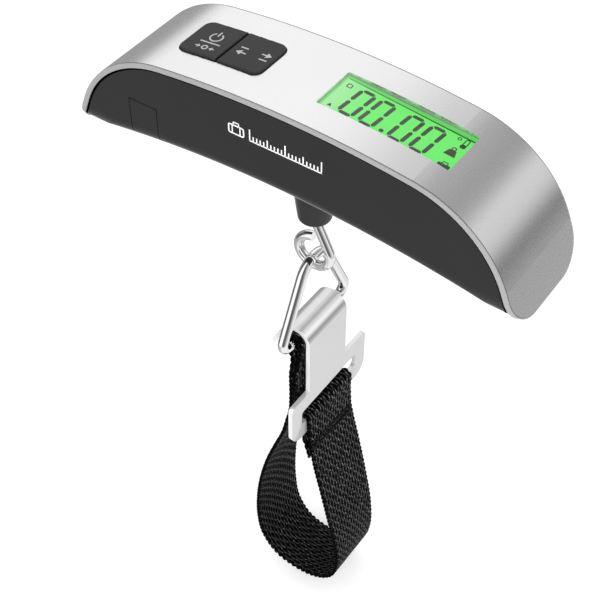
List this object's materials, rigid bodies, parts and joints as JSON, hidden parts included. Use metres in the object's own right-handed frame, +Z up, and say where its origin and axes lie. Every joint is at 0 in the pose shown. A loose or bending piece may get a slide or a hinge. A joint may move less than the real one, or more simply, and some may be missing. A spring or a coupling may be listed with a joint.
{
  "type": "digital luggage scale",
  "caption": "Hanging luggage scale: domed hand-held case with a display and two keys, a swivelling eye, a triangular link and a webbing loop that closes with a steel hook plate",
  "frame": {"origin": "top of the domed case in its middle, where the hand bears on it", "axes": "+Z up along the pull, +X along the case towards the display end, +Y towards the back, so the front face looks along -Y"},
  "size_m": [0.1318, 0.0375, 0.1972],
  "materials": {
    "skin": "satin",
    "silver_shell": "satin silver",
    "housing": "fine satin",
    "lens": "clear polished",
    "lcd": "lit green",
    "backlight": "diffusing",
    "key": "satin",
    "inner_black": "moulded",
    "board": "solder mask",
    "beam_steel": "machined",
    "gauge_foil": "film",
    "screw_steel": "zinc plated",
    "cell_steel": "satin",
    "contact": "tin plated",
    "plated_steel": "bright plated",
    "hook_steel": "nickel plated sheet",
    "webbing": "woven nylon"
  },
  "bodies": {
    "case": {"top_skin": "skin", "top_shell": "silver_shell", "lower_housing": "housing", "case_screws": "screw_steel", "display_lens": "lens", "lcd_glass": "lcd", "backlight": "backlight", "lcd_frame": "inner_black", "power_switch": "inner_black", "unit_switch": "inner_black", "circuit_board": "board", "controller_seal": "inner_black", "load_cell": "beam_steel", "strain_gauges": "gauge_foil", "beam_screws": "screw_steel", "coin_cell": "cell_steel", "battery_cradle": "inner_black", "battery_contact_plus": "contact", "battery_contact_minus": "contact"},
    "battery_door": {"battery_cover": "housing"},
    "key_power": {"power_key": "key"},
    "key_unit": {"unit_key": "key"},
    "eye_bolt": {"eye": "plated_steel", "eye_washer": "screw_steel", "eye_nut": "screw_steel"},
    "triangle": {"link": "plated_steel"},
    "sling": {"hook_plate": "hook_steel", "strap": "webbing"}
  },
  "joints": [
    {"name": "power_key_press", "type": "slide", "parent": "case", "child": "key_power", "axis": [0, 0, -1], "range_m": [0, 0.0008], "stiffness_N_per_m": 500},
    {"name": "unit_key_press", "type": "slide", "parent": "case", "child": "key_unit", "axis": [0, 0, -1], "range_m": [0, 0.0008], "stiffness_N_per_m": 500},
    {"name": "battery_cover_pull", "type": "slide", "parent": "case", "child": "battery_door", "axis": [0, 0, -1], "range_m": [0, 0.016]},
    {"name": "eye_swivel", "type": "hinge", "parent": "case", "child": "eye_bolt", "pos_m": [0, 0, -0.03], "axis": [0, 0, 1], "continuous": true},
    {"name": "link_swing", "type": "hinge", "parent": "eye_bolt", "child": "triangle", "pos_m": [0, 0, -0.0606], "axis": [1, 0, 0], "range_deg": [-70, 70]},
    {"name": "sling_swing", "type": "hinge", "parent": "triangle", "child": "sling", "pos_m": [0, 0, -0.083], "axis": [0, 1, 0], "range_deg": [-90, 90]}
  ]
}
